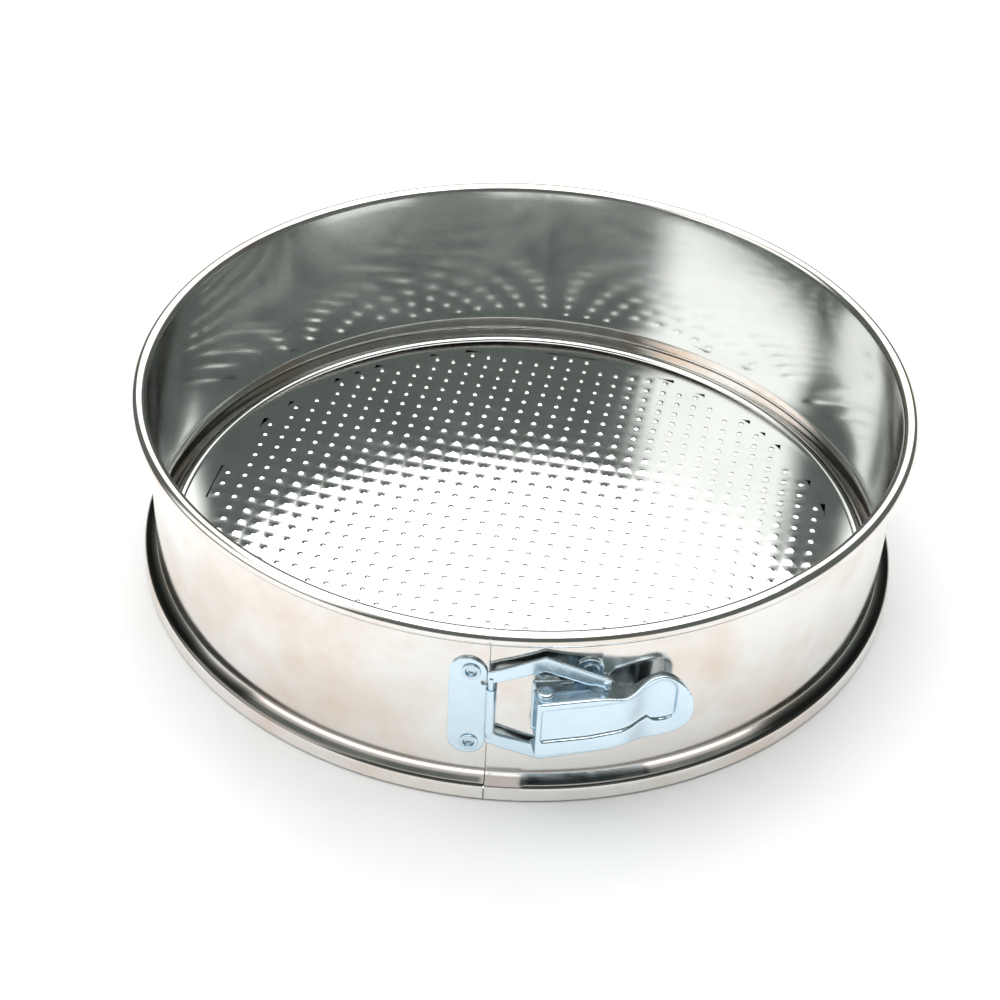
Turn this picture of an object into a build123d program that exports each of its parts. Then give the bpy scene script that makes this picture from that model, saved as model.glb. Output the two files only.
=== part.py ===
from build123d import *
import os
from math import cos, sin, degrees, sqrt

# Springform pan: a split spring band with a rolled rim and a bottom groove, a loose base plate,
# and an over-centre draw latch at the seam. Millimetres, +Z up, pan axis on Z, table at z = 0,
# seam on the -Y side, latch handle pointing to +X.

os.makedirs("parts", exist_ok=True)

# ---------------------------------------------------------------- driving sizes
INNER_RADIUS = 130.0          # inside of the wall
HEIGHT = 70.0                 # table to the top of the rolled rim
SHEET = 0.4                   # tinplate of the band
WALL_RADIUS = INNER_RADIUS + SHEET

RIM_RADIUS = 2.6              # outside of the rolled rim's tube
RIM_WRAP = 310                # degrees that the rim's curl turns
RIM_WIRE_RADIUS = 2.1

SHELF_TOP = 8.3               # the wall steps out here, over a sloping shelf, to the bottom bead
BEAD_RADIUS = 134.8           # mid-sheet radius of the bead's upright face
BEAD_TOP = 6.4                # height of the corner between the shelf and that face
BEAD_CORNER = 2.0             # how far that corner is rounded
PLAIN_CORNER = 0.4            # and beside the seam, where the band's end is pressed flat
FOOT_CORNER = 1.2             # corner between the upright face and the ledge
PLAIN_LENGTH = 11.5           # along the wall, right of the seam
LIP_RADIUS = 126.7            # inner edge of the ledge that carries the base

TONGUE_RADIUS = 129.7         # mid-sheet radius of the tongue behind the seam
TONGUE_LENGTH = 9.0
TONGUE_ROOT = 2.2
TONGUE_LOW = 9.0
TONGUE_HIGH = 64.0

BASE_RADIUS = 128.8
BASE_SHEET = 0.5
BASE_RING_RADIUS = 125.4
BASE_RING_TUBE = 1.5

LATCH_Z = 38.5                # middle height of the latch
BAR_RADIUS = 1.1              # round bar of the bail, in the anchor's barrel
HOOK_RADIUS = 1.2             # round ends of the bail, in the lever
PIN_RADIUS = 1.3
RUNNING_GAP = 0.06            # radial clearance of a turning fit

HINGE_ARC = 0.6               # bail bar: distance along the wall from the seam, and stand-off
HINGE_OFF = 2.1
PIVOT_ARC = 16.5              # lever pivot
PIVOT_OFF = 6.8
HOOK_ARC = 34.0               # bail ends in the lever
HOOK_OFF = 4.9
LEVER_ARC = 34.4              # where the lever's face is parallel to the wall

ANCHOR_LEFT = -12.5           # anchor plate, along the wall
ANCHOR_RIGHT = -0.7
ANCHOR_DROP = 1.8             # the plate sits a little below the latch's middle
ANCHOR_HEIGHT = 39.6
ANCHOR_SHEET = 0.9
ANCHOR_RIVET_X = -5.7
ANCHOR_RIVET_Z = 14.8         # each side of the plate's middle
BARREL_LOW = -10.4            # ends of the curled barrel, from the latch's middle
BARREL_HIGH = 7.8
BARREL_RADIUS = 1.75

BRACKET_SHEET = 0.9
BRACKET_LEFT = -21.4
BRACKET_RIGHT = 1.5
BRACKET_LOBE_X = -4.6          # from the lever's middle line
BRACKET_LOBE_Z = 14.3
BRACKET_LOBE_RADIUS = 4.6
EAR_RADIUS = 2.15

RIVET_SHANK = 2.0
RIVET_HEAD = 3.0
RIVET_HEIGHT = 0.6            # outer head
RIVET_BACK = 0.35             # inner head
RIVET_ROUND = 0.4
RIVET_DIMPLE = 1.85
RIVET_DEPTH = 1.3

LEVER_SHEET = 0.9
LEVER_FACE = 140.6            # raised edges of the lever, distance from the pan axis
LEVER_SINK = 1.0              # the middle panel is pressed in from the edges
LEVER_LEFT = -22.2
LEVER_TIP = 27.5
LEVER_HALF = 10.85            # half height of the channel
NECK_HALF = 9.7
SPOON_HALF = 12.6
PANEL_LOW = -4.9              # lower edge of the panel, from the lever's middle line
PANEL_HIGH = 8.2
SLOT_LEFT = 3.1               # how far the bail ends travel in the lever's slots
SLOT_RIGHT = 0.15
SLOT_LOW = 0.8
SLOT_HIGH = 0.1

Z_LATCH = Vector(0, 0, LATCH_Z)


# ---------------------------------------------------------------- places along the wall
def on_wall(arc, stand_off):
    """Point at a distance along the wall from the seam, and a stand-off from the wall."""
    angle = arc / WALL_RADIUS
    radius = WALL_RADIUS + stand_off
    return Vector(radius * sin(angle), -radius * cos(angle), LATCH_Z)


HINGE = on_wall(HINGE_ARC, HINGE_OFF)
PIVOT = on_wall(PIVOT_ARC, PIVOT_OFF)
HOOK = on_wall(HOOK_ARC, HOOK_OFF)

LEVER_ANGLE = LEVER_ARC / WALL_RADIUS
TANGENT = Vector(cos(LEVER_ANGLE), sin(LEVER_ANGLE), 0)
OUTWARD = Vector(sin(LEVER_ANGLE), -cos(LEVER_ANGLE), 0)

# Side view of the lever: x along the wall, y outwards. Front view: x along the wall, y up.
SIDE_VIEW = Plane(origin=Z_LATCH, x_dir=TANGENT, z_dir=(0, 0, -1))
FRONT_VIEW = Plane(origin=Z_LATCH, x_dir=TANGENT, z_dir=OUTWARD)

PIVOT_X = PIVOT.dot(TANGENT)
PIVOT_Y = PIVOT.dot(OUTWARD)
HOOK_X = HOOK.dot(TANGENT)
HOOK_Y = HOOK.dot(OUTWARD)


def save(part, name, colour):
    """Label one finished piece and write it."""
    part.label = name
    part.color = Color(*colour)
    export_step(part, f"parts/{name}.step")


TIN = (0.82, 0.80, 0.76)
ZINC = (0.72, 0.80, 0.88)


# ---------------------------------------------------------------- spring band
def rounded(before, corner, after, radius):
    """Start, middle and end of the arc that rounds a corner of a line."""
    one = (Vector(*before) - Vector(*corner)).normalized()
    two = (Vector(*after) - Vector(*corner)).normalized()
    inward = (one + two).normalized()
    cosine = one.dot(inward)
    sine = sqrt(1 - cosine**2)
    start = Vector(*corner) + one * (radius * cosine / sine)
    end = Vector(*corner) + two * (radius * cosine / sine)
    middle = Vector(*corner) + inward * (radius / sine - radius)
    return start, middle, end


def band_section(corner_radius):
    """Section of the band's sheet: rim curl, wall, shelf, bottom bead and ledge."""
    middle = INNER_RADIUS + SHEET / 2
    curl_radius = RIM_RADIUS - SHEET / 2
    curl_z = HEIGHT - RIM_RADIUS
    ledge_z = SHEET / 2
    step = (middle, SHELF_TOP)
    corner = (BEAD_RADIUS, BEAD_TOP)
    foot = (BEAD_RADIUS, ledge_z)
    lip = (LIP_RADIUS, ledge_z)
    upper = rounded(step, corner, foot, corner_radius)
    lower = rounded(corner, foot, lip, FOOT_CORNER)
    with BuildSketch(Plane.XZ) as section:
        with BuildLine():
            CenterArc((middle + curl_radius, curl_z), curl_radius, 180, -RIM_WRAP)
            Polyline((middle, curl_z), step, upper[0])
            ThreePointArc(*upper)
            Line(upper[2], lower[0])
            ThreePointArc(*lower)
            Line(lower[2], lip)
            offset(amount=SHEET / 2, side=Side.BOTH)
        make_face()
    return section.sketch


def band_arc(section, start, turn):
    """Sweep the band's section round the pan axis, from an angle measured from +X."""
    with BuildPart() as arc:
        add(section.rotate(Axis.Z, start))
        revolve(axis=Axis.Z, revolution_arc=turn)
    return arc.part


SEAM_ANGLE = -90
PLAIN_TURN = degrees(PLAIN_LENGTH / WALL_RADIUS)
BEADED = band_section(BEAD_CORNER)
PLAIN = band_section(PLAIN_CORNER)


def rivet_holes(plane, places):
    """Round holes through the wall for rivets."""
    with BuildPart() as holes:
        with BuildSketch(plane):
            with Locations(*places):
                Circle(RIVET_SHANK)
        extrude(amount=INNER_RADIUS + 20)
    return holes.part


ANCHOR_VIEW = Plane(origin=Z_LATCH - Vector(0, 0, ANCHOR_DROP), x_dir=(1, 0, 0), z_dir=(0, -1, 0))
ANCHOR_RIVETS = [(ANCHOR_RIVET_X, ANCHOR_RIVET_Z), (ANCHOR_RIVET_X, -ANCHOR_RIVET_Z)]
BRACKET_RIVETS = [(BRACKET_LOBE_X, BRACKET_LOBE_Z), (BRACKET_LOBE_X, -BRACKET_LOBE_Z)]

with BuildPart() as tongue:
    with BuildSketch(Plane.XY.offset(TONGUE_LOW)):
        with BuildLine():
            root_turn = degrees(TONGUE_ROOT / INNER_RADIUS)
            tongue_turn = degrees(TONGUE_LENGTH / INNER_RADIUS)
            CenterArc((0, 0), TONGUE_RADIUS, SEAM_ANGLE - root_turn, root_turn + tongue_turn)
            offset(amount=SHEET / 2, side=Side.BOTH)
        make_face()
    extrude(amount=TONGUE_HIGH - TONGUE_LOW)

with BuildPart() as tongue_root:
    with BuildSketch(Plane.XY.offset(TONGUE_LOW)):
        Circle(INNER_RADIUS + SHEET / 2)
        Circle(TONGUE_RADIUS, mode=Mode.SUBTRACT)
        with Locations((-TONGUE_ROOT / 2, -INNER_RADIUS)):
            Rectangle(TONGUE_ROOT - 0.4, 4, mode=Mode.INTERSECT)
    extrude(amount=TONGUE_HIGH - TONGUE_LOW)

with BuildPart() as band_left:
    add(band_arc(BEADED, 90, 180))
    add(tongue.part)
    add(tongue_root.part)
    add(rivet_holes(ANCHOR_VIEW, ANCHOR_RIVETS), mode=Mode.SUBTRACT)
save(band_left.part, "band_left", TIN)

with BuildPart() as band_right:
    add(band_arc(BEADED, SEAM_ANGLE + PLAIN_TURN, 180 - PLAIN_TURN))
    add(band_arc(PLAIN, SEAM_ANGLE, PLAIN_TURN))
    add(rivet_holes(FRONT_VIEW, BRACKET_RIVETS), mode=Mode.SUBTRACT)
save(band_right.part, "band_right", TIN)


# ---------------------------------------------------------------- wire in the rolled rim
def rim_wire(start):
    """Half of the wire that stiffens the rim."""
    with BuildPart() as wire:
        with BuildSketch(Plane.XZ) as section:
            with Locations((INNER_RADIUS + RIM_RADIUS, HEIGHT - RIM_RADIUS)):
                Circle(RIM_WIRE_RADIUS)
        revolve(section.sketch.rotate(Axis.Z, start), axis=Axis.Z, revolution_arc=180)
    return wire.part


save(rim_wire(90), "rim_wire_left", TIN)
save(rim_wire(-90), "rim_wire_right", TIN)


# ---------------------------------------------------------------- base plate
with BuildPart() as base_plate:
    with BuildSketch(Plane.XZ):
        with Locations((BASE_RADIUS / 2, SHEET + BASE_SHEET / 2)):
            Rectangle(BASE_RADIUS, BASE_SHEET)
        with Locations((BASE_RING_RADIUS, SHEET)):
            Rectangle(2 * (BASE_RING_TUBE - BASE_SHEET), 4 * BASE_SHEET, mode=Mode.SUBTRACT)
            Circle(BASE_RING_TUBE)
            Circle(BASE_RING_TUBE - BASE_SHEET, mode=Mode.SUBTRACT)
            Rectangle(2 * BASE_RING_TUBE, 2 * BASE_RING_TUBE, align=(Align.CENTER, Align.MAX),
                      mode=Mode.SUBTRACT)
    revolve(axis=Axis.Z)
save(base_plate.part, "base_plate", TIN)


# ---------------------------------------------------------------- plates bent to the wall
def bent_plate(outline, thickness):
    """A sheet that lies on the outside of the wall, cut to an outline that faces it."""
    with BuildPart() as plate:
        with BuildSketch(Plane.XY):
            Circle(WALL_RADIUS + thickness)
            Circle(WALL_RADIUS, mode=Mode.SUBTRACT)
        extrude(amount=HEIGHT)
        extrude(outline, amount=WALL_RADIUS + 2 * thickness, mode=Mode.INTERSECT)
    return plate.part


# ---------------------------------------------------------------- anchor plate
anchor_middle = (ANCHOR_LEFT + ANCHOR_RIGHT) / 2
with BuildSketch(ANCHOR_VIEW) as anchor_outline:
    with Locations((anchor_middle, 0)):
        SlotOverall(ANCHOR_HEIGHT, ANCHOR_RIGHT - ANCHOR_LEFT, rotation=90)

STRAP_START = ANCHOR_RIGHT - 1.8
with BuildPart() as anchor_plate:
    add(bent_plate(anchor_outline.sketch, ANCHOR_SHEET))
    with BuildSketch(Plane.XY.offset(LATCH_Z + BARREL_LOW)):
        with Locations((HINGE.X, HINGE.Y)):
            Circle(BARREL_RADIUS)
        with BuildLine():
            Polyline(
                (HINGE.X, HINGE.Y + BARREL_RADIUS),
                (STRAP_START, -WALL_RADIUS),
                (STRAP_START, -WALL_RADIUS - ANCHOR_SHEET),
                (HINGE.X, HINGE.Y + BAR_RADIUS),
                close=True,
            )
        make_face()
        with Locations((HINGE.X, HINGE.Y)):
            Circle(BAR_RADIUS + RUNNING_GAP, mode=Mode.SUBTRACT)
    extrude(amount=BARREL_HIGH - BARREL_LOW)
    with BuildSketch(ANCHOR_VIEW):
        with Locations(*ANCHOR_RIVETS):
            Circle(RIVET_SHANK)
        with Locations((ANCHOR_RIGHT - 0.6, BARREL_HIGH + ANCHOR_DROP + 0.9)):
            SlotOverall(2.6, 1.8)
    extrude(amount=WALL_RADIUS + 10, mode=Mode.SUBTRACT)
save(anchor_plate.part, "anchor_plate", ZINC)


# ---------------------------------------------------------------- rivets
def disc(view, height, place, radius, thickness):
    """Short round bar that stands on a plane."""
    with BuildPart() as bar:
        with BuildSketch(view.offset(height)):
            with Locations(place):
                Circle(radius)
        extrude(amount=thickness)
    return bar.part


def rivet(view, place, grip):
    """Hollow rivet: thin flat head inside the wall, low dimpled head outside."""
    x = abs(place[0])
    nearest = max(x - RIVET_HEAD, 0)
    seat = sqrt((WALL_RADIUS + grip)**2 - nearest**2)
    inner = sqrt(INNER_RADIUS**2 - (x + RIVET_HEAD)**2)
    with BuildPart() as piece:
        add(disc(view, seat, place, RIVET_HEAD, RIVET_HEIGHT))
        fillet(piece.faces().sort_by(Axis(view.origin, view.z_dir))[-1].edges(), RIVET_ROUND)
        add(disc(view, inner - RIVET_BACK, place, RIVET_HEAD, RIVET_BACK))
        add(disc(view, inner, place, RIVET_SHANK - 0.02, seat - inner))
        with BuildSketch(view.offset(seat + RIVET_HEIGHT)):
            with Locations(place):
                Circle(RIVET_DIMPLE)
        extrude(amount=-RIVET_DEPTH, taper=12, mode=Mode.SUBTRACT)
    return piece.part


for name, view, place, grip in (
    ("anchor_rivet_upper", ANCHOR_VIEW, ANCHOR_RIVETS[0], ANCHOR_SHEET),
    ("anchor_rivet_lower", ANCHOR_VIEW, ANCHOR_RIVETS[1], ANCHOR_SHEET),
    ("bracket_rivet_upper", FRONT_VIEW, BRACKET_RIVETS[0], BRACKET_SHEET),
    ("bracket_rivet_lower", FRONT_VIEW, BRACKET_RIVETS[1], BRACKET_SHEET),
):
    save(rivet(view, place, grip), name, ZINC)


# ---------------------------------------------------------------- bail
BAIL_SHEET = 1.2
KNEE_ARC = 16.4               # the legs are widest here and lie close to the wall
KNEE_OFF = 1.7
BAR_END = (15.2, 10.8)        # outer and inner half height of the legs at the bar
KNEE_END = (21.4, 15.6)       # at the knee
HOOK_END = (15.2, 11.15)      # and at the ends in the lever
STUB_END_Z = 9.4              # the round ends reach in to here
KNEE = on_wall(KNEE_ARC, KNEE_OFF)
BAIL_VIEW = Plane(origin=Z_LATCH, x_dir=(1, 0, 0), z_dir=(0, -1, 0))

with BuildPart() as bail:
    with BuildSketch(Plane.XY.offset(LATCH_Z - KNEE_END[0])):
        with BuildLine():
            FilletPolyline(
                (HINGE.X - 0.7, HINGE.Y),
                (HINGE.X + 3, HINGE.Y),
                (KNEE.X, KNEE.Y),
                (HOOK.X + 1.2, HOOK.Y - 0.4),
                radius=4,
            )
            offset(amount=BAIL_SHEET / 2, side=Side.BOTH)
        make_face()
    extrude(amount=2 * KNEE_END[0])
    with BuildSketch(BAIL_VIEW):
        with BuildLine():
            FilletPolyline(
                (HINGE.X - 2, 0),
                (HINGE.X - 2, BAR_END[0] - 1),
                (KNEE.X, KNEE_END[0]),
                (HOOK.X + 2, HOOK_END[0] - 0.6),
                (HOOK.X + 2, HOOK_END[1]),
                (HOOK.X - 2.5, HOOK_END[1]),
                (KNEE.X, KNEE_END[1]),
                (HINGE.X + 1.4, BAR_END[1]),
                (HINGE.X + 1.4, 0),
                radius=1.4,
            )
            Line((HINGE.X + 1.4, 0), (HINGE.X - 2, 0))
        make_face()
        mirror(about=Plane.XZ)
    extrude(amount=WALL_RADIUS + 20, mode=Mode.INTERSECT)
    with BuildSketch(BAIL_VIEW):
        Rectangle(8, 2 * BAR_END[1], align=(Align.CENTER, Align.CENTER))
    extrude(amount=WALL_RADIUS + 20, mode=Mode.SUBTRACT)
    with BuildSketch(Plane.XY.offset(LATCH_Z - BAR_END[1] - 1.5)):
        with Locations((HINGE.X, HINGE.Y)):
            Circle(BAR_RADIUS)
    extrude(amount=2 * (BAR_END[1] + 1.5))
    for side in (1, -1):
        with BuildSketch(Plane.XY.offset(LATCH_Z + side * STUB_END_Z)):
            with Locations((HOOK.X, HOOK.Y)):
                Circle(HOOK_RADIUS)
        extrude(amount=side * (HOOK_END[1] + 2.4 - STUB_END_Z))
save(bail.part, "bail", ZINC)


# ---------------------------------------------------------------- lever bracket
EAR_OUTER = 9.6               # outer face of an ear, from the latch's middle
with BuildSketch(FRONT_VIEW) as bracket_outline:
    with Locations(((BRACKET_LEFT + BRACKET_RIGHT) / 2, 0)):
        Rectangle(BRACKET_RIGHT - BRACKET_LEFT, 2 * EAR_OUTER)
    with Locations((BRACKET_LOBE_X, 0)):
        SlotCenterToCenter(2 * BRACKET_LOBE_Z, 2 * BRACKET_LOBE_RADIUS, rotation=90)

with BuildPart() as lever_bracket:
    add(bent_plate(bracket_outline.sketch, BRACKET_SHEET))
    for side in (1, -1):
        with BuildSketch(SIDE_VIEW.offset(-side * EAR_OUTER)):
            with BuildLine():
                ear_foot = WALL_RADIUS - 0.8
                Polyline(
                    (PIVOT_X - EAR_RADIUS, ear_foot - 1.5),
                    (PIVOT_X + 7.0, ear_foot),
                    (PIVOT_X + EAR_RADIUS, PIVOT_Y),
                    (PIVOT_X - EAR_RADIUS, PIVOT_Y),
                    close=True,
                )
            make_face()
            with Locations((PIVOT_X, PIVOT_Y)):
                Circle(EAR_RADIUS)
                Circle(PIN_RADIUS, mode=Mode.SUBTRACT)
        extrude(amount=side * BRACKET_SHEET)
    with BuildSketch(FRONT_VIEW):
        with Locations(*BRACKET_RIVETS):
            Circle(RIVET_SHANK)
    extrude(amount=WALL_RADIUS + 3, mode=Mode.SUBTRACT)
    with BuildSketch(Plane.XY):
        Circle(WALL_RADIUS)
    extrude(amount=HEIGHT, mode=Mode.SUBTRACT)
save(lever_bracket.part, "lever_bracket", ZINC)


# ---------------------------------------------------------------- pivot pin
HEAD_RADIUS = 2.8
HEAD_HEIGHT = 1.5
HEAD_START = LEVER_HALF + 0.15
with BuildPart() as pivot_pin:
    with BuildSketch(SIDE_VIEW.offset(-HEAD_START)):
        with Locations((PIVOT_X, PIVOT_Y)):
            Circle(PIN_RADIUS)
    extrude(amount=2 * HEAD_START)
    for side in (1, -1):
        with BuildSketch(SIDE_VIEW.offset(side * HEAD_START)):
            with Locations((PIVOT_X, PIVOT_Y)):
                Circle(HEAD_RADIUS)
        extrude(amount=side * HEAD_HEIGHT)
    fillet(pivot_pin.faces().sort_by(Axis.Z)[-1].edges(), 1.1)
    fillet(pivot_pin.faces().sort_by(Axis.Z)[0].edges(), 1.1)
save(pivot_pin.part, "pivot_pin", ZINC)


# ---------------------------------------------------------------- lever
# The lever's face in the side view: straight over the channel, down to the neck, up to the tip.
LEVER_DIP = ((12.5, -4.4), (18.0, -5.5), (23.5, -4.4))
LEVER_STRAIGHT = 2.5          # where the straight face ends
LEVER_RISE = -2.6             # height of the face at the tip
FOOT_LEFT = 133.2             # wall-side edge of the channel's sides, at the left end
FOOT_MIDDLE = 131.9           # below the slots for the bail's ends
FOOT_RIGHT = 134.6
LIP = 2.8                     # depth of the handle's edge


def lever_side(lift, left, cut):
    """Side silhouette of the lever; the cut of its hollow runs on past the open wall side."""
    face = LEVER_FACE + lift
    down = -LIP - lift - cut
    right = LEVER_TIP + 1
    with BuildSketch(SIDE_VIEW) as side:
        with BuildLine():
            Line((left, face), (LEVER_STRAIGHT, face))
            Spline(
                (LEVER_STRAIGHT, face),
                *((x, face + y) for x, y in LEVER_DIP),
                (right, face + LEVER_RISE),
                tangents=((1, 0), (1, 0.35)),
            )
            Line((right, face + LEVER_RISE), (right, face + LEVER_RISE + down))
            Spline(
                (right, face + LEVER_RISE + down),
                *((x, face + y + down) for x, y in reversed(LEVER_DIP)),
                (LEVER_STRAIGHT + 2.5, FOOT_RIGHT - cut),
                tangents=((-1, -0.35), (-1, 0)),
            )
            Polyline(
                (LEVER_STRAIGHT + 2.5, FOOT_RIGHT - cut),
                (HOOK_X + 2.4, FOOT_MIDDLE - cut),
                (HOOK_X - 4.0, FOOT_MIDDLE - cut),
                (left, FOOT_LEFT - cut),
                (left, face),
            )
        make_face()
    return side.sketch


def lever_front(inset, left):
    """Front outline of the lever, drawn in from its edge."""
    with BuildSketch(FRONT_VIEW) as front:
        with BuildLine() as edge:
            Line((left, LEVER_HALF - inset), (-4, LEVER_HALF - inset))
            Spline(
                (-4, LEVER_HALF - inset),
                (6, NECK_HALF - inset),
                (17.5, SPOON_HALF - inset),
                tangents=((1, 0), (1, 0.02)),
            )
            ThreePointArc(
                (17.5, SPOON_HALF - inset),
                (25.0 - 0.8 * inset, (SPOON_HALF - inset) * 0.64),
                (LEVER_TIP - inset, 0),
            )
            mirror(about=Plane.XZ)
            Line((left, LEVER_HALF - inset), (left, inset - LEVER_HALF))
        make_face()
    return front.sketch


def lever_solid(lift, inset, left, cut=0):
    """The lever's outer form lifted outwards and drawn in from its edges, filled solid."""
    with BuildPart() as blank:
        extrude(lever_side(lift, left, cut), amount=SPOON_HALF, both=True)
        extrude(lever_front(inset, left), amount=LEVER_FACE + 10, mode=Mode.INTERSECT)
    return blank.part


HOLLOW = 8.0                  # the hollow is cut on past the open side by this much
PANEL_LEFT = LEVER_LEFT + 1.6
PANEL_WAIST = (6.0, -3.4, 8.6)    # where the panel narrows: x, lower and upper edge
PANEL_NECK = (16.5, -3.0, 10.0)   # and where it meets the dish
DISH_LEFT = 13.4                  # round-cornered thumb dish at the tip
DISH_RIGHT = 22.2
DISH_LOW = -5.5
DISH_HIGH = 10.9
DISH_CORNER = 4.0


def panel_front(grow):
    """Front outline of the pressed-in panel, grown outwards."""
    waist_x, waist_low, waist_high = PANEL_WAIST
    neck_x, neck_low, neck_high = PANEL_NECK
    with BuildSketch(FRONT_VIEW) as front:
        with BuildLine():
            Polyline(
                (PANEL_LEFT, PANEL_LOW),
                (-6, PANEL_LOW),
                (waist_x, waist_low),
                (neck_x, neck_low),
                (neck_x, neck_high),
                (waist_x, waist_high),
                (-4, PANEL_HIGH),
                (PANEL_LEFT, PANEL_HIGH),
                close=True,
            )
        make_face()
        with Locations(((DISH_LEFT + DISH_RIGHT) / 2, (DISH_LOW + DISH_HIGH) / 2)):
            RectangleRounded(DISH_RIGHT - DISH_LEFT, DISH_HIGH - DISH_LOW, DISH_CORNER)
        if grow:
            offset(amount=grow)
    return front.sketch


def recess(sink, grow):
    """Space over the pressed-in panel: above the panel and within its outline."""
    with BuildPart() as space:
        extrude(panel_front(grow), amount=LEVER_FACE + 10)
        extrude(
            lever_side(-sink, LEVER_LEFT - 15, LEVER_FACE),
            amount=SPOON_HALF,
            both=True,
            mode=Mode.SUBTRACT,
        )
    return space.part


with BuildPart() as lever_hollow:
    add(lever_solid(-LEVER_SHEET, LEVER_SHEET, LEVER_LEFT - 5, HOLLOW))
    add(recess(LEVER_SINK + LEVER_SHEET, LEVER_SHEET), mode=Mode.SUBTRACT)

with BuildPart() as lever:
    add(lever_solid(0, 0, LEVER_LEFT))
    add(lever_hollow.part, mode=Mode.SUBTRACT)
    add(recess(LEVER_SINK, 0), mode=Mode.SUBTRACT)
    with BuildSketch(SIDE_VIEW):
        with Locations((PIVOT_X, PIVOT_Y)):
            Circle(PIN_RADIUS + RUNNING_GAP)
        slot_reach = HOOK_RADIUS + 0.15
        with Locations((HOOK_X + (SLOT_RIGHT - SLOT_LEFT) / 2, HOOK_Y + (SLOT_HIGH - SLOT_LOW) / 2)):
            slot_width = 2 * slot_reach + SLOT_LEFT + SLOT_RIGHT
            slot_height = 2 * slot_reach + SLOT_LOW + SLOT_HIGH
            RectangleRounded(slot_width, slot_height, slot_reach - 0.05)
    extrude(amount=LEVER_HALF + 2, both=True, mode=Mode.SUBTRACT)
save(lever.part, "lever", ZINC)
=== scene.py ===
import bmesh
import bpy
from math import atan2, cos, pi, radians, sin, sqrt
from mathutils import Matrix, Vector


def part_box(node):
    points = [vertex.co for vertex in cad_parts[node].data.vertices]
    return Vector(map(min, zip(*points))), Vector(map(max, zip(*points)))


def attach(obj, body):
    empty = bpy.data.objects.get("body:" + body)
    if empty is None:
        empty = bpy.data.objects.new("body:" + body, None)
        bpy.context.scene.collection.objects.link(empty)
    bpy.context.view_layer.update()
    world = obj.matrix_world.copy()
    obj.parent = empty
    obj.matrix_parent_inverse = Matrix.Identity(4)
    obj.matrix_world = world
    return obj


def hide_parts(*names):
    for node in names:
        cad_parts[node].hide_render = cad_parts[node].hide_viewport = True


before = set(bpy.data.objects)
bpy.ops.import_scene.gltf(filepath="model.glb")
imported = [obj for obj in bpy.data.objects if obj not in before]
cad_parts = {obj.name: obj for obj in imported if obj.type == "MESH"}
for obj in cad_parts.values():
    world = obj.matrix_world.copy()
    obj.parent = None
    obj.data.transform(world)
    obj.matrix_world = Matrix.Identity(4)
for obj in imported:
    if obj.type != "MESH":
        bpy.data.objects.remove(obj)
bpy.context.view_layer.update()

# ------------------------------------------------------------------ driving sizes, in metres
MM = 0.001
WALL_TOP_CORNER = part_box("band_right")[1]
HEIGHT = WALL_TOP_CORNER.z
RIM_TUBE = 2.6 * MM           # outer radius of the rim curl
INNER = WALL_TOP_CORNER.x - 2 * RIM_TUBE
SHEET = 0.4 * MM
RIM_WRAP = 310                # degrees of the curl
SHELF_TOP = 8.3 * MM          # the wall steps out here, over a sloping shelf, to the bottom bead
SHELF_CORNER = 0.4 * MM
BEAD_RADIUS = 134.8 * MM
BEAD_TOP = 6.4 * MM
BEAD_CORNER = 2.0 * MM
PLAIN_CORNER = 0.4 * MM       # beside the seam, where the band's end is pressed flat
FOOT_CORNER = 1.2 * MM
LIP_RADIUS = 126.7 * MM       # inner edge of the ledge that carries the base
PLAIN_LENGTH = 11.5 * MM      # along the wall, right of the seam
FADE_TURN = 0.008             # radians over which the bead fades in
SEAM_GAP = 0.16               # degrees, between the ends of the band
TONGUE_LOW = 1.0 * MM
TONGUE_HIGH = 64 * MM
TONGUE_RADIUS = 129.7 * MM
TONGUE_LEFT = -2.0 * MM       # distances along the wall from the seam
TONGUE_LENGTH = 11.0 * MM
TONGUE_HEM = 0.35 * MM        # how far its fixed edge stands out
BASE_TOP = 0.9 * MM
BASE_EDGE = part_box("base_plate")[1].x
BASE_BEVEL = 0.1 * MM
BASE_SHEET = 0.5 * MM
RING = 125.4 * MM             # the ring bead pressed round the plate
RING_TUBE = 1.5 * MM
DIMPLE_PITCH = 6.65 * MM
DIMPLE_RADIUS = 1.45 * MM
DIMPLE_HEIGHT = 0.42 * MM
DIMPLE_TURN = radians(-6.6)
PANEL = 116.0 * MM            # radius of the dotted panel
LEVER_TURN = 34.4 / 130.4     # radians from the seam to the lever's middle
LEVER_FACE = 138.3 * MM       # distance of its outer face from the pan's axis
LEVER_LEFT = -21.0 * MM
WAIST_START = 2.5 * MM        # the face dips here, over the waist
WAIST_LENGTH = 31 * MM
WAIST_DIP = 5.5 * MM
FLOOR_HALF = 4.0
CAMERA_DISTANCE = 0.7137
CAMERA_ELEVATION = 0.64628    # radians
CAMERA_AZIMUTH = 0.04435      # radians, to the right of the seam
CAMERA_TURNS = (("up", 0.00964), ("right", -0.02294), ("back", 0.05632))


# ------------------------------------------------------------------ small helpers
def make_object(name, verts, faces, smooth=True):
    mesh = bpy.data.meshes.new(name)
    mesh.from_pydata(verts, [], faces)
    mesh.validate()
    mesh.polygons.foreach_set("use_smooth", [smooth] * len(mesh.polygons))
    obj = bpy.data.objects.new(name, mesh)
    bpy.context.scene.collection.objects.link(obj)
    return obj


def finish_piece(obj, body, node, material):
    obj.data.materials.clear()
    obj.data.materials.append(material)
    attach(obj, body)
    if node:
        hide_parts(node)
    return obj


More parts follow.
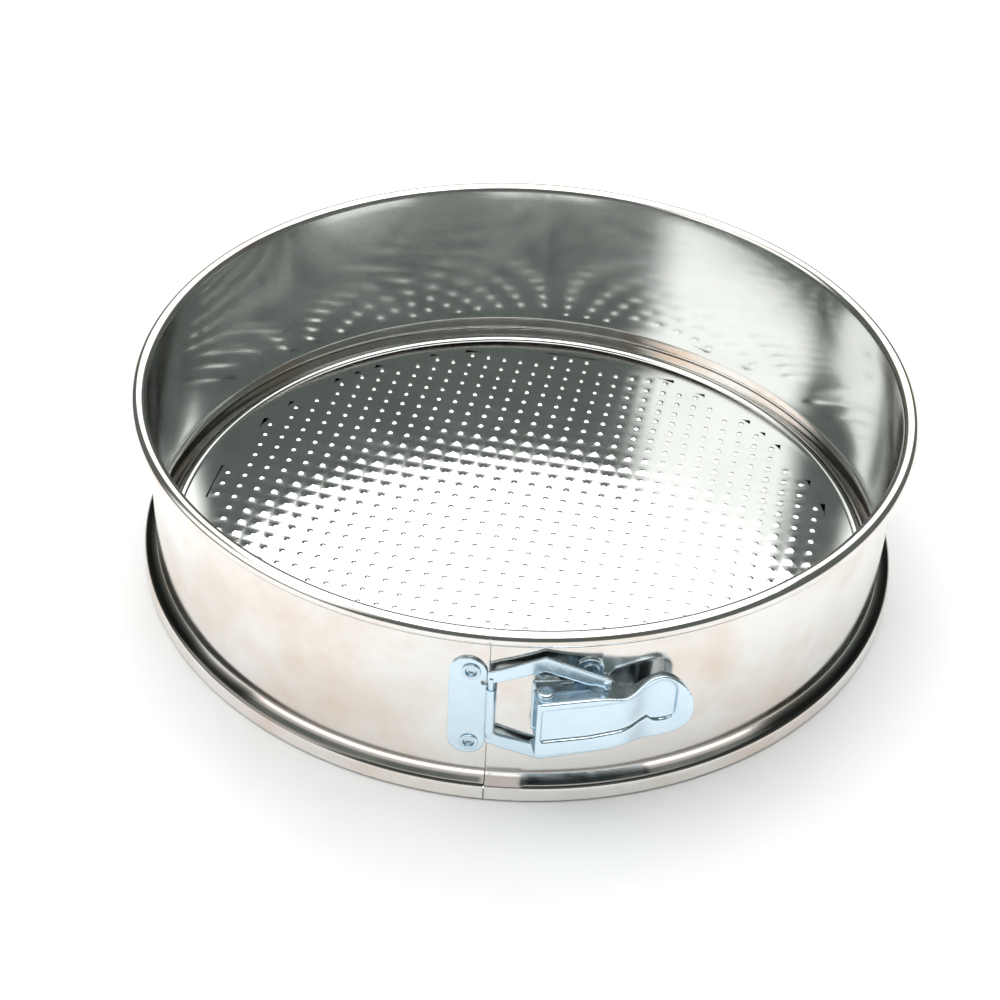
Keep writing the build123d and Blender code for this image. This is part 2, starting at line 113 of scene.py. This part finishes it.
# ------------------------------------------------------------------ materials
TIN_DARK = (0.80, 0.81, 0.79)
TIN_PALE = (0.86, 0.865, 0.85)
STAIN = (0.68, 0.50, 0.36)
# Painted shade: dull dark tin on the shelf over the bead, standing in for its shade.
SHELF_PAINTED_SHADE = (0.20, 0.185, 0.17)
# Painted shade: near-black line in the crease over the bead, where shade falls.
CREASE_PAINTED_SHADE = (0.035, 0.04, 0.035)


class Nodes:
    """Short names for building a node tree."""

    def __init__(self, name):
        self.material = bpy.data.materials.new(name)
        self.material.use_nodes = True
        self.tree = self.material.node_tree
        self.shader = self.tree.nodes["Principled BSDF"]
        self.place = self.add("ShaderNodeTexCoord").outputs["Object"]

    def add(self, kind, **values):
        node = self.tree.nodes.new(kind)
        for key, value in values.items():
            setattr(node, key, value)
        return node

    def link(self, source, target):
        self.tree.links.new(source, target)

    def noise(self, vector, scale, detail=3.0, rough=0.5):
        node = self.add("ShaderNodeTexNoise")
        node.inputs["Scale"].default_value = scale
        node.inputs["Detail"].default_value = detail
        node.inputs["Roughness"].default_value = rough
        self.link(vector, node.inputs["Vector"])
        return node.outputs["Fac"]

    def ramp(self, source, stops):
        node = self.add("ShaderNodeValToRGB")
        ramp = node.color_ramp
        while len(ramp.elements) < len(stops):
            ramp.elements.new(0.5)
        for element, (position, colour) in zip(ramp.elements, stops):
            element.position = position
            element.color = (*colour, 1.0)
        self.link(source, node.inputs["Fac"])
        return node.outputs["Color"]

    def between(self, source, low, high, to_low, to_high):
        node = self.add("ShaderNodeMapRange")
        node.inputs["From Min"].default_value = low
        node.inputs["From Max"].default_value = high
        node.inputs["To Min"].default_value = to_low
        node.inputs["To Max"].default_value = to_high
        self.link(source, node.inputs["Value"])
        return node.outputs["Result"]

    def combine(self, first, second, operation):
        node = self.add("ShaderNodeMath", operation=operation)
        self.link(first, node.inputs[0])
        self.link(second, node.inputs[1])
        return node.outputs["Value"]

    def blend(self, factor, first, second):
        node = self.add("ShaderNodeMix", data_type="RGBA")
        self.link(factor, node.inputs["Factor"])
        self.link(first, node.inputs["A"])
        if isinstance(second, tuple):
            node.inputs["B"].default_value = (*second, 1.0)
        else:
            self.link(second, node.inputs["B"])
        return node.outputs["Result"]

    def bump(self, height, strength, distance, after=None):
        node = self.add("ShaderNodeBump")
        node.inputs["Strength"].default_value = strength
        node.inputs["Distance"].default_value = distance
        self.link(height, node.inputs["Height"])
        if after is not None:
            self.link(after, node.inputs["Normal"])
        return node.outputs["Normal"]


def wall_place(n):
    """Coordinates that follow the wall, a mask of its outer side, the way round it and the height."""
    split = n.add("ShaderNodeSeparateXYZ")
    n.link(n.place, split.inputs["Vector"])
    minus = n.add("ShaderNodeMath", operation="MULTIPLY")
    minus.inputs[1].default_value = -1.0
    n.link(split.outputs["Y"], minus.inputs[0])
    turn = n.add("ShaderNodeMath", operation="ARCTAN2")
    n.link(split.outputs["X"], turn.inputs[0])
    n.link(minus.outputs["Value"], turn.inputs[1])
    arc = n.add("ShaderNodeMath", operation="MULTIPLY")
    arc.inputs[1].default_value = INNER
    n.link(turn.outputs["Value"], arc.inputs[0])
    join = n.add("ShaderNodeCombineXYZ")
    n.link(arc.outputs["Value"], join.inputs["X"])
    n.link(split.outputs["Z"], join.inputs["Y"])
    length = n.add("ShaderNodeVectorMath", operation="LENGTH")
    flat = n.add("ShaderNodeCombineXYZ")
    n.link(split.outputs["X"], flat.inputs["X"])
    n.link(split.outputs["Y"], flat.inputs["Y"])
    n.link(flat.outputs["Vector"], length.inputs[0])
    outside = n.between(length.outputs["Value"], INNER + 0.1 * MM, INNER + 0.3 * MM, 0.0, 1.0)
    return join.outputs["Vector"], outside, arc.outputs["Value"], split.outputs["Z"]


def within(n, value, start, full, falling, end):
    """Mask that rises from start to full and falls from falling to end."""
    rise = n.between(value, start, full, 0.0, 1.0)
    fall = n.between(value, falling, end, 1.0, 0.0)
    return n.combine(fall, rise, "MULTIPLY")


def crease_painted_shade(n, outside, arc, height, clouds):
    """How dark the painted shade line in the crease over the bead is; it fades out where the band's
    end is flat.
    """
    line = within(n, height, 6.8 * MM, 7.0 * MM, 7.5 * MM, 7.8 * MM)
    line = n.combine(line, outside, "MULTIPLY")
    right = n.between(arc, PLAIN_LENGTH - 2.0 * MM, PLAIN_LENGTH + 1.0 * MM, 0.0, 1.0)
    left = n.between(arc, -2.0 * MM, -0.5 * MM, 1.0, 0.0)
    line = n.combine(line, n.combine(right, left, "MAXIMUM"), "MULTIPLY")
    return n.combine(line, n.between(clouds, 0.35, 0.6, 0.75, 0.95), "MULTIPLY")


def scaled(n, vector, scale):
    mapping = n.add("ShaderNodeMapping")
    mapping.inputs["Scale"].default_value = scale
    n.link(vector, mapping.inputs["Vector"])
    return mapping.outputs["Vector"]


def base_colour(n, clouds, stain):
    """Cool grey tin with a few faint brown stains."""
    tin = n.ramp(clouds, [(0.3, TIN_DARK), (0.7, TIN_PALE)])
    return n.blend(n.between(stain, 0.6, 0.8, 0.0, 0.25), tin, STAIN)


def band_colour(n, clouds, stain, outside, arc, height):
    """Grey inside, warm and more stained outside, with painted shade on the shelf over the bead and a
    darker painted shade line in its crease.
    """
    cool = n.ramp(clouds, [(0.3, TIN_DARK), (0.7, TIN_PALE)])
    warm = n.ramp(clouds, [(0.3, (0.83, 0.80, 0.765)), (0.7, (0.90, 0.885, 0.86))])
    tin = n.blend(outside, cool, warm)
    tint = n.combine(n.between(stain, 0.45, 0.70, 0.0, 0.6), outside, "MULTIPLY")
    tin = n.blend(tint, tin, STAIN)
    # painted shade over the shelf, on the outer side only
    shelf = within(n, height, 6.0 * MM, 6.6 * MM, 7.9 * MM, 8.4 * MM)
    tin = n.blend(n.combine(shelf, outside, "MULTIPLY"), tin, SHELF_PAINTED_SHADE)
    # painted shade line in the crease
    return n.blend(crease_painted_shade(n, outside, arc, height, clouds), tin, CREASE_PAINTED_SHADE)


def tinplate(name, rolled):
    """Bright tinplate: fine rolling lines, cloudy haze, faint stains and a slightly wavy sheet."""
    n = Nodes(name)
    vector = n.place
    if rolled:
        vector, outside, arc, height = wall_place(n)
    lines = n.noise(scaled(n, vector, (60, 2600, 60)), 1.0, 4.0, 0.6)
    clouds = n.noise(vector, 38.0, 4.0, 0.55)
    stain = n.noise(vector, 16.0, 5.0, 0.65)
    spots = n.noise(vector, 420.0, 2.0, 0.5)
    if rolled:
        colour = band_colour(n, clouds, stain, outside, arc, height)
    else:
        colour = base_colour(n, clouds, stain)
    n.link(colour, n.shader.inputs["Base Color"])
    haze = n.between(clouds, 0.25, 0.75, 0.08, 0.16)
    streak = n.between(lines, 0.3, 0.7, -0.02, 0.025)
    n.link(n.combine(haze, streak, "ADD"), n.shader.inputs["Roughness"])
    waves = n.noise(vector, 22.0, 1.0, 0.4)
    normal = n.bump(waves, 0.35, 0.0012)
    normal = n.bump(lines, 0.10, 0.00003, normal)
    normal = n.bump(spots, 0.08, 0.00003, normal)
    n.link(normal, n.shader.inputs["Normal"])
    n.shader.inputs["Metallic"].default_value = 1.0
    return n.material


def zinc(name, colour_low, colour_high):
    """Bluish bright zinc plate over pressed steel."""
    n = Nodes(name)
    clouds = n.noise(n.place, 180.0, 3.0, 0.6)
    grain = n.noise(n.place, 2400.0, 2.0, 0.5)
    dents = n.noise(n.place, 90.0, 1.0, 0.4)
    wear = n.noise(n.place, 420.0, 4.0, 0.7)
    colour = n.ramp(clouds, [(0.3, colour_low), (0.7, colour_high)])
    worn = n.between(wear, 0.64, 0.82, 0.0, 0.35)
    colour = n.blend(worn, colour, (0.66, 0.72, 0.78))
    n.link(colour, n.shader.inputs["Base Color"])
    haze = n.between(clouds, 0.3, 0.7, 0.17, 0.26)
    speck = n.between(grain, 0.3, 0.7, -0.015, 0.02)
    n.link(n.combine(haze, speck, "ADD"), n.shader.inputs["Roughness"])
    normal = n.bump(dents, 0.2, 0.0006)
    normal = n.bump(grain, 0.05, 0.00002, normal)
    n.link(normal, n.shader.inputs["Normal"])
    n.shader.inputs["Metallic"].default_value = 1.0
    return n.material


def painted_floor():
    n = Nodes("floor_paint")
    grain = n.noise(n.place, 14.0, 3.0, 0.6)
    colour = n.ramp(grain, [(0.3, (0.93, 0.93, 0.93)), (0.7, (0.96, 0.96, 0.96))])
    n.link(colour, n.shader.inputs["Base Color"])
    n.link(n.between(grain, 0.3, 0.7, 0.55, 0.7), n.shader.inputs["Roughness"])
    n.shader.inputs["Specular IOR Level"].default_value = 0.2
    return n.material


BAND_TIN = tinplate("band_tinplate", True)
BASE_TIN = tinplate("base_tinplate", False)
# Painted shade: dark grey zinc for the tongue, standing in for the shade in the gap behind the seam.
TONGUE_PAINTED_SHADE = zinc("tongue_painted_shade", (0.40, 0.39, 0.38), (0.52, 0.51, 0.50))
LATCH_ZINC = zinc("latch_zinc", (0.66, 0.82, 0.93), (0.75, 0.88, 0.97))
RIVET_ZINC = zinc("rivet_zinc", (0.60, 0.74, 0.84), (0.70, 0.82, 0.90))


# ------------------------------------------------------------------ spring band
def arc_points(centre, radius, start, turn, count):
    points = []
    for i in range(count + 1):
        a = radians(start + turn * i / count)
        points.append((centre[0] + radius * cos(a), centre[1] + radius * sin(a)))
    return points


def rounded(before, corner, after, radius, count):
    """Points of the arc that rounds a corner of a line."""
    corner = Vector(corner)
    one = (Vector(before) - corner).normalized()
    two = (Vector(after) - corner).normalized()
    inward = (one + two).normalized()
    cosine = one.dot(inward)
    sine = sqrt(1 - cosine ** 2)
    centre = corner + inward * (radius / sine)
    start = (corner + one * (radius * cosine / sine) - centre).normalized()
    end = (corner + two * (radius * cosine / sine) - centre).normalized()
    points = []
    for i in range(count + 1):
        points.append(tuple(centre + start.slerp(end, i / count) * radius))
    return points


def straight(start, end, count):
    """Points on a line, without its ends."""
    return [tuple(Vector(start).lerp(Vector(end), i / count)) for i in range(1, count)]


def band_line(corner_radius):
    """Middle line of the band's sheet as (radius, height), from the curl down to the ledge."""
    middle = INNER + SHEET / 2
    curl = RIM_TUBE - SHEET / 2
    curl_z = HEIGHT - RIM_TUBE
    step = (middle, SHELF_TOP)
    corner = (BEAD_RADIUS, BEAD_TOP)
    foot = (BEAD_RADIUS, SHEET / 2)
    lip = (LIP_RADIUS, SHEET / 2)
    points = arc_points((middle + curl, curl_z), curl, 180 - RIM_WRAP, RIM_WRAP, 40)
    points += straight((middle, curl_z), step, 16)
    points += rounded((middle, curl_z), step, corner, SHELF_CORNER, 4)
    points += rounded(step, corner, foot, corner_radius, 8)
    points += straight(points[-1], foot, 5)[:3]
    points += rounded(corner, foot, lip, FOOT_CORNER, 6)
    points += straight(points[-1], lip, 5) + [lip]
    return points


def sheet_outline(line, half):
    """Closed outline of a sheet of that half thickness round its middle line."""
    one, two = [], []
    for i, point in enumerate(line):
        before = Vector(line[max(i - 1, 0)])
        after = Vector(line[min(i + 1, len(line) - 1)])
        along = (after - before).normalized()
        side = Vector((-along.y, along.x)) * half
        one.append(Vector(point) + side)
        two.append(Vector(point) - side)
    return one + two[::-1]


def lathe(name, outline_at, start, turn, steps):
    """Sweep an outline round the pan's axis; outline_at gives it at each fraction of the turn."""
    verts, faces = [], []
    count = len(outline_at(0))
    for i in range(steps + 1):
        a = radians(start + turn * i / steps)
        for point in outline_at(i / steps):
            verts.append((point[0] * cos(a), point[0] * sin(a), point[1]))
    for i in range(steps):
        for j in range(count):
            k = (j + 1) % count
            low, high = i * count, (i + 1) * count
            faces.append((low + j, low + k, high + k, high + j))
    faces.append(tuple(range(count)))
    faces.append(tuple(steps * count + j for j in reversed(range(count))))
    return make_object(name, verts, faces)


def sharpen(obj, degrees_limit):
    """Smooth shading that keeps edges sharper than the limit."""
    bpy.context.view_layer.objects.active = obj
    obj.select_set(True)
    bpy.ops.object.shade_smooth_by_angle(angle=radians(degrees_limit))
    obj.select_set(False)


BEADED = sheet_outline(band_line(BEAD_CORNER), SHEET / 2)
PLAIN = sheet_outline(band_line(PLAIN_CORNER), SHEET / 2)
PLAIN_TURN = PLAIN_LENGTH / (INNER + SHEET)


def mixed(a, b, t):
    return [p.lerp(q, t) for p, q in zip(a, b)]


def right_outline(t):
    """The bead's rounded corner fades in a little right of the seam."""
    fade = (t * pi - PLAIN_TURN + FADE_TURN / 2) / FADE_TURN
    return mixed(PLAIN, BEADED, min(max(fade, 0.0), 1.0))


def make_bands():
    left = lathe("band_left_sheet", lambda t: BEADED, 90, 180 - SEAM_GAP, 360)
    sharpen(left, 32)
    finish_piece(left, "left_half", "band_left", BAND_TIN)
    right = lathe("band_right_sheet", right_outline, -90, 180, 720)
    sharpen(right, 32)
    finish_piece(right, "right_half", "band_right", BAND_TIN)


make_bands()


def tongue_piece():
    """Inner flap behind the seam, which bridges the gap when the band opens."""
    verts, faces = [], []
    steps = 16
    for i in range(steps + 1):
        a = (TONGUE_LEFT + TONGUE_LENGTH * i / steps) / INNER
        middle = TONGUE_RADIUS + (TONGUE_HEM if i == 0 else 0.0)
        for z in (TONGUE_LOW, TONGUE_HIGH):
            for r in (middle - SHEET / 2, middle + SHEET / 4):
                verts.append((r * sin(a), -r * cos(a), z))
    for i in range(steps):
        b, c = 4 * i, 4 * (i + 1)
        for j, k in ((0, 1), (1, 3), (3, 2), (2, 0)):
            faces.append((b + j, b + k, c + k, c + j))
    faces.append((0, 2, 3, 1))
    faces.append((4 * steps, 4 * steps + 1, 4 * steps + 3, 4 * steps + 2))
    obj = make_object("seam_tongue", verts, faces)
    sharpen(obj, 30)
    # the flap gets the dark zinc that paints the shade in the seam's gap
    finish_piece(obj, "left_half", None, TONGUE_PAINTED_SHADE)


tongue_piece()


# ------------------------------------------------------------------ base plate
def lattice():
    """Centres of the dimples."""
    centres = []
    reach = int(PANEL / DIMPLE_PITCH) + 2
    turn = Matrix.Rotation(DIMPLE_TURN, 2)
    for i in range(-reach, reach + 1):
        for j in range(-reach, reach + 1):
            point = turn @ Vector((i, j)) * DIMPLE_PITCH
            if point.length < PANEL - DIMPLE_PITCH * 0.35:
                centres.append((i, j))
    return centres


def dimple_cell(segments, rings):
    """Points of one cell: its square edge, then rings up to the middle, as (x, y, height)."""
    turns = [2 * pi * i / segments + pi / 4 for i in range(segments)]
    edge = []
    for a in turns:
        reach = DIMPLE_PITCH / 2 / max(abs(cos(a)), abs(sin(a)))
        edge.append((reach * cos(a), reach * sin(a), 0.0))
    layers = [edge]
    for radius, height in rings:
        layers.append([(radius * cos(a), radius * sin(a), height) for a in turns])
    return layers


def add_cell(bm, i, j, layers, level, shared):
    """Add one cell; its edge vertices are shared with the cells beside it."""
    turn = Matrix.Rotation(DIMPLE_TURN, 2)
    half = DIMPLE_PITCH / 2
    middle = turn @ Vector((i, j)) * DIMPLE_PITCH
    rows = []
    for layer in layers:
        row = []
        for x, y, height in layer:
            key = (round(2 * i + x / half, 3), round(2 * j + y / half, 3))
            on_edge = not rows
            if on_edge and key in shared:
                row.append(shared[key])
                continue
            point = middle + turn @ Vector((x, y))
            row.append(bm.verts.new((point.x, point.y, level + height)))
            if on_edge:
                shared[key] = row[-1]
        rows.append(row)
    for one, two in zip(rows, rows[1:]):
        bridge(bm, one, two)
    top = bm.verts.new((middle.x, middle.y, level + DIMPLE_HEIGHT))
    for one, two in zip(row, row[1:] + row[:1]):
        bm.faces.new((one, two, top))


def dotted_panel(bm, segments, rings, level):
    """Add the cells of the dotted panel; gives back its edge loop, ordered round the plate."""
    layers = dimple_cell(segments, rings)
    shared = {}
    for i, j in lattice():
        add_cell(bm, i, j, layers, level, shared)
    loop = [vert for vert in shared.values() if vert.is_boundary]
    loop.sort(key=lambda vert: atan2(vert.co.y, vert.co.x))
    return loop


def bridge(bm, one, two):
    """Band of faces between two closed rows of as many vertices."""
    count = len(one)
    for k in range(count):
        m = (k + 1) % count
        bm.faces.new((one[k], one[m], two[m], two[k]))


def dome(count):
    """Rings of a pressed dimple from its foot to near its middle."""
    rings = []
    for i in range(count):
        t = 1 - i / count
        rings.append((DIMPLE_RADIUS * t, DIMPLE_HEIGHT * (0.5 + 0.5 * cos(pi * t))))
    return rings


def base_outline():
    """Section of the plate's border, from the panel out over the ring bead and back below."""
    low = BASE_TOP - BASE_SHEET
    bevel = BASE_EDGE - BASE_BEVEL
    top = []
    for i in range(5):
        radius = PANEL + (RING - RING_TUBE - PANEL) * i / 5
        top.append((radius, BASE_TOP))
    top += arc_points((RING, low), RING_TUBE, 160.5, -141, 12)
    top += [(RING + RING_TUBE + 0.3 * MM, BASE_TOP), (bevel, BASE_TOP)]
    top += [(BASE_EDGE, BASE_TOP - BASE_BEVEL), (BASE_EDGE, low + BASE_BEVEL)]
    under = [(bevel, low), (RING + RING_TUBE - BASE_SHEET, low)]
    under += arc_points((RING, low), RING_TUBE - BASE_SHEET, 0, 180, 8)[1:]
    return top + under + [(PANEL, low)]


def make_base():
    bm = bmesh.new()
    first = dotted_panel(bm, 12, dome(4), BASE_TOP)
    last = dotted_panel(bm, 12, dome(2), BASE_TOP - BASE_SHEET)
    rows = [first]
    for radius, height in base_outline():
        row = []
        for vert in first:
            a = atan2(vert.co.y, vert.co.x)
            row.append(bm.verts.new((radius * cos(a), radius * sin(a), height)))
        rows.append(row)
    rows.append(last)
    for one, two in zip(rows, rows[1:]):
        bridge(bm, one, two)
    bmesh.ops.recalc_face_normals(bm, faces=bm.faces)
    mesh = bpy.data.meshes.new("base_dimpled")
    bm.to_mesh(mesh)
    bm.free()
    mesh.polygons.foreach_set("use_smooth", [True] * len(mesh.polygons))
    obj = bpy.data.objects.new("base_dimpled", mesh)
    bpy.context.scene.collection.objects.link(obj)
    sharpen(obj, 50)
    finish_piece(obj, "base", "base_plate", BASE_TIN)


make_base()


# ------------------------------------------------------------------ latch
def softened(node, body, material, voxel, rounds, pressed=None):
    """Copy of a CAD node with the small edge rounding that pressed and plated metal has."""
    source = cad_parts[node]
    obj = bpy.data.objects.new(node + "_pressed", source.data.copy())
    bpy.context.scene.collection.objects.link(obj)
    remesh = obj.modifiers.new("remesh", "REMESH")
    remesh.mode = "VOXEL"
    remesh.voxel_size = voxel
    bake_modifiers(obj)
    smooth = obj.modifiers.new("smooth", "SMOOTH")
    smooth.factor = 0.5
    smooth.iterations = rounds
    if pressed:
        group = obj.vertex_groups.new(name="pressed")
        group.add([v.index for v in obj.data.vertices if pressed(v.co)], 1.0, "REPLACE")
        more = obj.modifiers.new("bends", "SMOOTH")
        more.factor = 0.5
        more.iterations = 32
        more.vertex_group = "pressed"
    bake_modifiers(obj)
    obj.data.name = node + "_pressed"
    obj.data.polygons.foreach_set("use_smooth", [True] * len(obj.data.polygons))
    return finish_piece(obj, body, node, material)


def bake_modifiers(obj):
    graph = bpy.context.evaluated_depsgraph_get()
    done = bpy.data.meshes.new_from_object(obj.evaluated_get(graph))
    obj.modifiers.clear()
    obj.data = done


LEVER_OUT = Vector((sin(LEVER_TURN), -cos(LEVER_TURN), 0))
LEVER_ALONG = Vector((cos(LEVER_TURN), sin(LEVER_TURN), 0))


def on_lever_face(point):
    """True on the outer face and its bends, away from the ears and the free edges."""
    along = point.dot(LEVER_ALONG)
    stretch = min(max((along - WAIST_START) / WAIST_LENGTH, 0.0), 1.0)
    dip = WAIST_DIP * sin(stretch * pi)
    return along > LEVER_LEFT and point.dot(LEVER_OUT) > LEVER_FACE - dip


softened("lever", "lever", LATCH_ZINC, 0.26 * MM, 3, on_lever_face)
softened("bail", "bail", LATCH_ZINC, 0.25 * MM, 3)
softened("anchor_plate", "left_half", LATCH_ZINC, 0.22 * MM, 2)
softened("lever_bracket", "right_half", LATCH_ZINC, 0.25 * MM, 2)
softened("pivot_pin", "right_half", RIVET_ZINC, 0.15 * MM, 2)
for rivet in ("anchor_rivet_upper", "anchor_rivet_lower"):
    softened(rivet, "left_half", RIVET_ZINC, 0.12 * MM, 2)
for rivet in ("bracket_rivet_upper", "bracket_rivet_lower"):
    softened(rivet, "right_half", RIVET_ZINC, 0.12 * MM, 2)

for node in ("rim_wire_left", "rim_wire_right"):
    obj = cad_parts[node]
    obj.data.materials.clear()
    obj.data.materials.append(RIVET_ZINC)


# ------------------------------------------------------------------ floor, light and camera
def make_floor():
    """Plain pale floor, a square grid just below the pan's foot."""
    rows, columns = 9, 13
    verts, faces = [], []
    for r in range(rows):
        y = FLOOR_HALF * (2 * r / (rows - 1) - 1)
        for c in range(columns):
            verts.append((FLOOR_HALF * (2 * c / (columns - 1) - 1), y, -0.2 * MM))
    for r in range(rows - 1):
        for c in range(columns - 1):
            corner = r * columns + c
            above = corner + columns
            faces.append((corner, corner + 1, above + 1, above))
    floor = make_object("studio_floor", verts, faces)
    floor.data.materials.append(painted_floor())


def light_math(tree, kind, first, second):
    """Math node of a light; the second input is a socket or a number."""
    node = tree.nodes.new("ShaderNodeMath")
    node.operation = kind
    tree.links.new(first, node.inputs[0])
    if isinstance(second, float):
        node.inputs[1].default_value = second
    else:
        tree.links.new(second, node.inputs[1])
    return node.outputs["Value"]


def soft_edges(data):
    """Let the panel fade towards its edges, as a fabric softbox does."""
    data.use_nodes = True
    tree = data.node_tree
    place = tree.nodes.new("ShaderNodeNewGeometry")
    split = tree.nodes.new("ShaderNodeSeparateXYZ")
    tree.links.new(place.outputs["Parametric"], split.inputs["Vector"])
    sides = []
    for axis in ("X", "Y"):
        fade = tree.nodes.new("ShaderNodeMapRange")
        fade.interpolation_type = "SMOOTHSTEP"
        fade.inputs["From Min"].default_value = -0.02
        fade.inputs["From Max"].default_value = 0.2
        edge = light_math(tree, "PINGPONG", split.outputs[axis], 0.5)
        tree.links.new(edge, fade.inputs["Value"])
        sides.append(fade.outputs["Result"])
    both = light_math(tree, "MULTIPLY", *sides)
    stronger = light_math(tree, "MULTIPLY", both, 1.5)
    tree.links.new(stronger, tree.nodes["Emission"].inputs["Strength"])


def add_light(name, data, place):
    light = bpy.data.objects.new(name, data)
    bpy.context.scene.collection.objects.link(light)
    light.location = place
    light.visible_camera = False
    return light


def area_light(name, place, size, power):
    """Softbox that faces the pan."""
    data = bpy.data.lights.new(name, "AREA")
    data.shape = "RECTANGLE"
    data.size = size[0]
    data.size_y = size[1]
    data.energy = power
    soft_edges(data)
    light = add_light(name, data, place)
    light.rotation_euler = (-Vector(place)).to_track_quat("-Z", "Y").to_euler()


def make_overhead():
    """Wide even light from above, which lights the whole floor alike."""
    data = bpy.data.lights.new("overhead", "SUN")
    data.energy = 2.5
    data.angle = radians(72)
    add_light("overhead", data, (0, 0, 2))


def make_world():
    """Dim surroundings, so that the softboxes and the floor draw the metal; a pale backdrop."""
    world = bpy.data.worlds.new("studio")
    bpy.context.scene.world = world
    world.use_nodes = True
    tree = world.node_tree
    dim = tree.nodes["Background"]
    dim.inputs["Color"].default_value = (0.118, 0.135, 0.127, 1.0)
    pale = tree.nodes.new("ShaderNodeBackground")
    pale.inputs["Color"].default_value = (0.9, 0.9, 0.9, 1.0)
    rays = tree.nodes.new("ShaderNodeLightPath")
    mix = tree.nodes.new("ShaderNodeMixShader")
    tree.links.new(rays.outputs["Is Camera Ray"], mix.inputs["Fac"])
    tree.links.new(dim.outputs["Background"], mix.inputs[1])
    tree.links.new(pale.outputs["Background"], mix.inputs[2])
    tree.links.new(mix.outputs["Shader"], tree.nodes["World Output"].inputs["Surface"])


def make_camera():
    """Long lens from the front, 37 degrees above the horizon, turned a little off the pan's middle."""
    centre = Vector((0, 0, HEIGHT / 2))
    level = cos(CAMERA_ELEVATION)
    back = Vector((sin(CAMERA_AZIMUTH) * level, -cos(CAMERA_AZIMUTH) * level, sin(CAMERA_ELEVATION)))
    right = (-back).cross(Vector((0, 0, 1))).normalized()
    axes = {"right": right, "up": right.cross(-back), "back": back}
    for name, angle in CAMERA_TURNS:
        turn = Matrix.Rotation(angle, 3, axes[name])
        axes = {key: turn @ axis for key, axis in axes.items()}
    data = bpy.data.cameras.new("camera")
    data.lens = 72.0
    data.sensor_width = 36.0
    data.clip_start = 0.01
    data.clip_end = 50.0
    camera = bpy.data.objects.new("camera", data)
    bpy.context.scene.collection.objects.link(camera)
    basis = Matrix(list(axes.values())).transposed()
    place = centre + back * CAMERA_DISTANCE
    camera.matrix_world = Matrix.Translation(place) @ basis.to_4x4()
    bpy.context.scene.camera = camera


make_floor()
make_world()
make_camera()
make_overhead()
area_light("back_softbox", (0.0, 1.5, 1.5), (2.8, 1.7), 20)
area_light("left_softbox", (-1.5, -0.5, 1.0), (2.2, 1.5), 8.5)
bpy.context.scene.view_settings.view_transform = "Standard"
